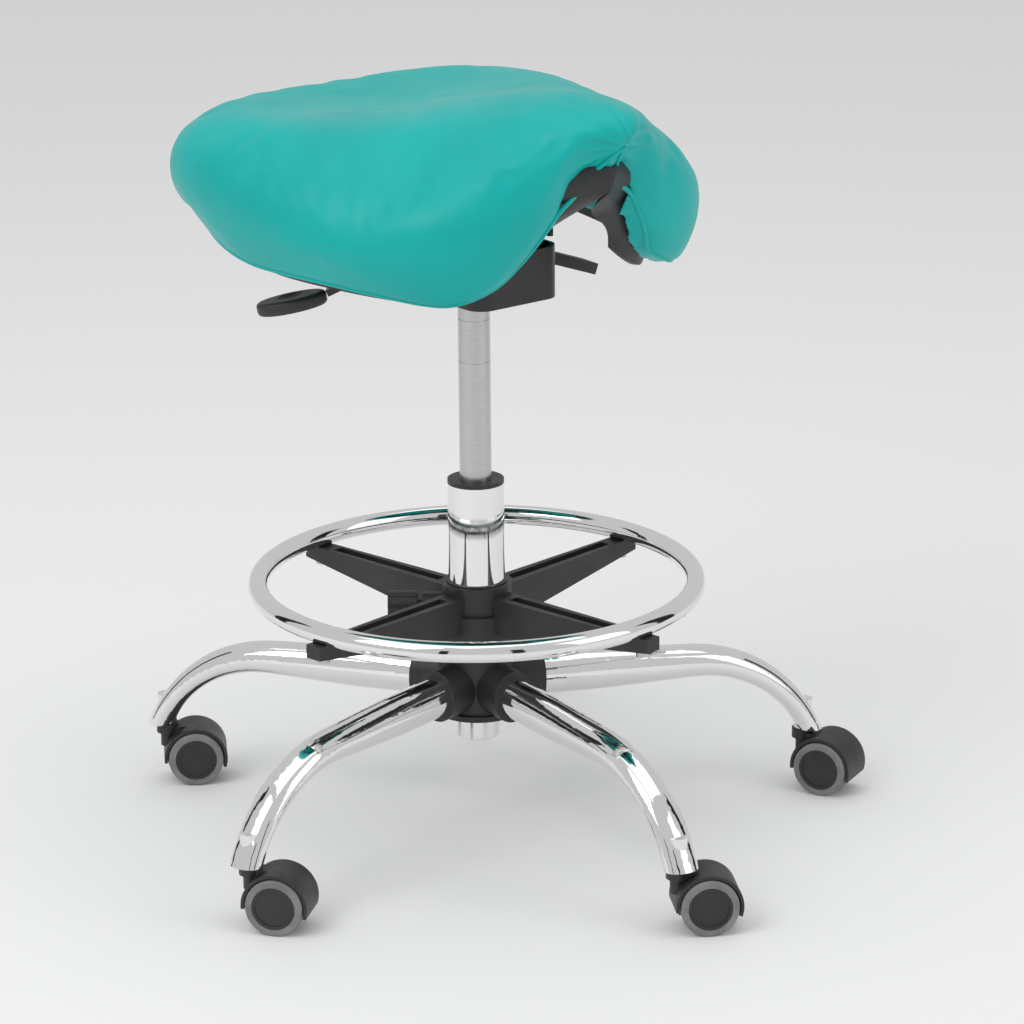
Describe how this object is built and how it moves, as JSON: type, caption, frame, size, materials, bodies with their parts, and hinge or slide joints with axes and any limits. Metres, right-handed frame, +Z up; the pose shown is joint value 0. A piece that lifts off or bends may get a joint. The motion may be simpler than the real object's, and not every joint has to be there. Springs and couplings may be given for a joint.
{
  "type": "dentist stool",
  "caption": "Saddle stool: arched upholstered seat with tilt and gas height levers on a chrome column, foot ring on a spider, and a chrome star base on twin-wheel casters.",
  "frame": {"origin": "on the floor, on the column axis", "axes": "+Z up; the rider faces -Y, with the left hand on +X"},
  "size_m": [0.6401, 0.6315, 0.6848],
  "materials": {
    "chrome": "mirror-bright chrome plating",
    "steel": "satin ground steel",
    "black_plastic": "finely textured black plastic",
    "grey_tread": "soft grey tread",
    "black_metal": "satin black powder coat",
    "white_plastic": "natural acetal",
    "vinyl": "smooth teal upholstery vinyl over foam"
  },
  "bodies": {
    "base": {"hub_core": "steel", "hub_cover": "black_plastic", "base_legs": "chrome", "leg_end_plugs": "chrome", "caster_stems": "steel", "column_tube": "chrome", "guide_bush": "black_plastic", "column_foot": "chrome", "thrust_bearing": "steel"},
    "piston_rod_assembly": {"piston_rod": "steel", "piston": "steel"},
    "lift_carriage": {"gas_cylinder": "steel", "mechanism_housing": "black_metal", "tilt_pivot": "steel", "lever_pins": "steel", "tilt_spring": "steel"},
    "valve_button": {"release_button": "steel"},
    "height_lever_arm": {"height_lever": "black_metal", "height_paddle": "black_plastic"},
    "tilt_lever_arm": {"tilt_lever": "black_metal", "tilt_handle": "black_plastic"},
    "saddle": {"tilt_bracket": "black_metal", "seat_bolts": "steel", "seat_shell": "black_plastic", "seat_cushion": "vinyl"},
    "ring_carrier": {"ring_bush": "black_plastic"},
    "foot_rest": {"ring_spider": "black_plastic", "foot_ring": "chrome", "ring_screws": "steel"},
    "knob": {"clamp_knob": "black_plastic"},
    "caster_1": {"caster_1_hood": "black_plastic", "caster_1_axle": "steel"},
    "caster_1_roller_a": {"caster_1_wheel_a": "black_plastic", "caster_1_tyre_a": "grey_tread"},
    "caster_1_roller_b": {"caster_1_wheel_b": "black_plastic", "caster_1_tyre_b": "grey_tread"},
    "caster_2": {"caster_2_hood": "black_plastic", "caster_2_axle": "steel"},
    "caster_2_roller_a": {"caster_2_wheel_a": "black_plastic", "caster_2_tyre_a": "grey_tread"},
    "caster_2_roller_b": {"caster_2_wheel_b": "black_plastic", "caster_2_tyre_b": "grey_tread"},
    "caster_3": {"caster_3_hood": "black_plastic", "caster_3_axle": "steel"},
    "caster_3_roller_a": {"caster_3_wheel_a": "black_plastic", "caster_3_tyre_a": "grey_tread"},
    "caster_3_roller_b": {"caster_3_wheel_b": "black_plastic", "caster_3_tyre_b": "grey_tread"},
    "caster_4": {"caster_4_hood": "black_plastic", "caster_4_axle": "steel"},
    "caster_4_roller_a": {"caster_4_wheel_a": "black_plastic", "caster_4_tyre_a": "grey_tread"},
    "caster_4_roller_b": {"caster_4_wheel_b": "black_plastic", "caster_4_tyre_b": "grey_tread"},
    "caster_5": {"caster_5_hood": "black_plastic", "caster_5_axle": "steel"},
    "caster_5_roller_a": {"caster_5_wheel_a": "black_plastic", "caster_5_tyre_a": "grey_tread"},
    "caster_5_roller_b": {"caster_5_wheel_b": "black_plastic", "caster_5_tyre_b": "grey_tread"}
  },
  "joints": [
    {"name": "seat_swivel", "type": "hinge", "parent": "base", "child": "piston_rod_assembly", "pos_m": [0, 0, 0.119], "axis": [0, 0, 1], "continuous": true},
    {"name": "seat_lift", "type": "slide", "parent": "piston_rod_assembly", "child": "lift_carriage", "axis": [0, 0, 1], "range_m": [-0.12, 0.015]},
    {"name": "seat_tilt", "type": "hinge", "parent": "lift_carriage", "child": "saddle", "pos_m": [0, -0.034, 0.556], "axis": [1, 0, 0], "range_deg": [-3, 8], "deforming": ["tilt_spring"]},
    {"name": "height_lever_lift", "type": "hinge", "parent": "lift_carriage", "child": "height_lever_arm", "pos_m": [-0.044, 0.006, 0.533], "axis": [0, 1, 0], "range_deg": [0, 4.5], "stiffness_Nm_per_rad": 1.5, "springref_deg": -8.59},
    {"name": "valve_press", "type": "slide", "parent": "lift_carriage", "child": "valve_button", "axis": [0, 0, 1], "range_m": [-0.003, 0]},
    {"name": "tilt_lock", "type": "hinge", "parent": "lift_carriage", "child": "tilt_lever_arm", "pos_m": [0.044, -0.002, 0.533], "axis": [0, -1, 0], "range_deg": [0, 8]},
    {"name": "ring_height", "type": "slide", "parent": "base", "child": "ring_carrier", "axis": [0, 0, 1], "range_m": [-0.003, 0.085]},
    {"name": "ring_turn", "type": "hinge", "parent": "ring_carrier", "child": "foot_rest", "pos_m": [0, 0, 0.2], "axis": [0, 0, 1], "continuous": true},
    {"name": "clamp_turn", "type": "hinge", "parent": "foot_rest", "child": "knob", "pos_m": [-0.04689, 0.03743, 0.205], "axis": [-0.7815, 0.6239, 0], "range_deg": [-180, 180]},
    {"name": "caster_1_swivel", "type": "hinge", "parent": "base", "child": "caster_1", "pos_m": [0.28301, -0.11897, 0.045], "axis": [0, 0, 1], "continuous": true},
    {"name": "caster_1_roll_a", "type": "hinge", "parent": "caster_1", "child": "caster_1_roller_a", "pos_m": [0.29358, -0.14163, 0.025], "axis": [0.9063, 0.4226, 0], "continuous": true},
    {"name": "caster_1_roll_b", "type": "hinge", "parent": "caster_1", "child": "caster_1_roller_b", "pos_m": [0.29358, -0.14163, 0.025], "axis": [0.9063, 0.4226, 0], "continuous": true},
    {"name": "caster_2_swivel", "type": "hinge", "parent": "base", "child": "caster_2", "pos_m": [0.2006, 0.2324, 0.045], "axis": [0, 0, 1], "continuous": true},
    {"name": "caster_2_roll_a", "type": "hinge", "parent": "caster_2", "child": "caster_2_roller_a", "pos_m": [0.22409, 0.24095, 0.025], "axis": [-0.342, 0.9397, 0], "continuous": true},
    {"name": "caster_2_roll_b", "type": "hinge", "parent": "caster_2", "child": "caster_2_roller_b", "pos_m": [0.22409, 0.24095, 0.025], "axis": [-0.342, 0.9397, 0], "continuous": true},
    {"name": "caster_3_swivel", "type": "hinge", "parent": "base", "child": "caster_3", "pos_m": [-0.15903, 0.2626, 0.045], "axis": [0, 0, 1], "continuous": true},
    {"name": "caster_3_roll_a", "type": "hinge", "parent": "caster_3", "child": "caster_3_roller_a", "pos_m": [-0.13807, 0.24898, 0.025], "axis": [0.5446, 0.8387, 0], "continuous": true},
    {"name": "caster_3_roll_b", "type": "hinge", "parent": "caster_3", "child": "caster_3_roller_b", "pos_m": [-0.13807, 0.24898, 0.025], "axis": [0.5446, 0.8387, 0], "continuous": true},
    {"name": "caster_4_swivel", "type": "hinge", "parent": "base", "child": "caster_4", "pos_m": [-0.29889, -0.0701, 0.045], "axis": [0, 0, 1], "continuous": true},
    {"name": "caster_4_roll_a", "type": "hinge", "parent": "caster_4", "child": "caster_4_roller_a", "pos_m": [-0.28316, -0.08953, 0.025], "axis": [0.7771, 0.6293, 0], "continuous": true},
    {"name": "caster_4_roll_b", "type": "hinge", "parent": "caster_4", "child": "caster_4_roller_b", "pos_m": [-0.28316, -0.08953, 0.025], "axis": [0.7771, 0.6293, 0], "continuous": true},
    {"name": "caster_5_swivel", "type": "hinge", "parent": "base", "child": "caster_5", "pos_m": [-0.02569, -0.30592, 0.045], "axis": [0, 0, 1], "continuous": true},
    {"name": "caster_5_roll_a", "type": "hinge", "parent": "caster_5", "child": "caster_5_roller_a", "pos_m": [-0.00426, -0.3188, 0.025], "axis": [0.515, 0.8572, 0], "continuous": true},
    {"name": "caster_5_roll_b", "type": "hinge", "parent": "caster_5", "child": "caster_5_roller_b", "pos_m": [-0.00426, -0.3188, 0.025], "axis": [0.515, 0.8572, 0], "continuous": true}
  ],
  "couplings": [
    {"joint": "valve_press", "follows": "height_lever_lift", "m_per_rad": -0.035}
  ]
}
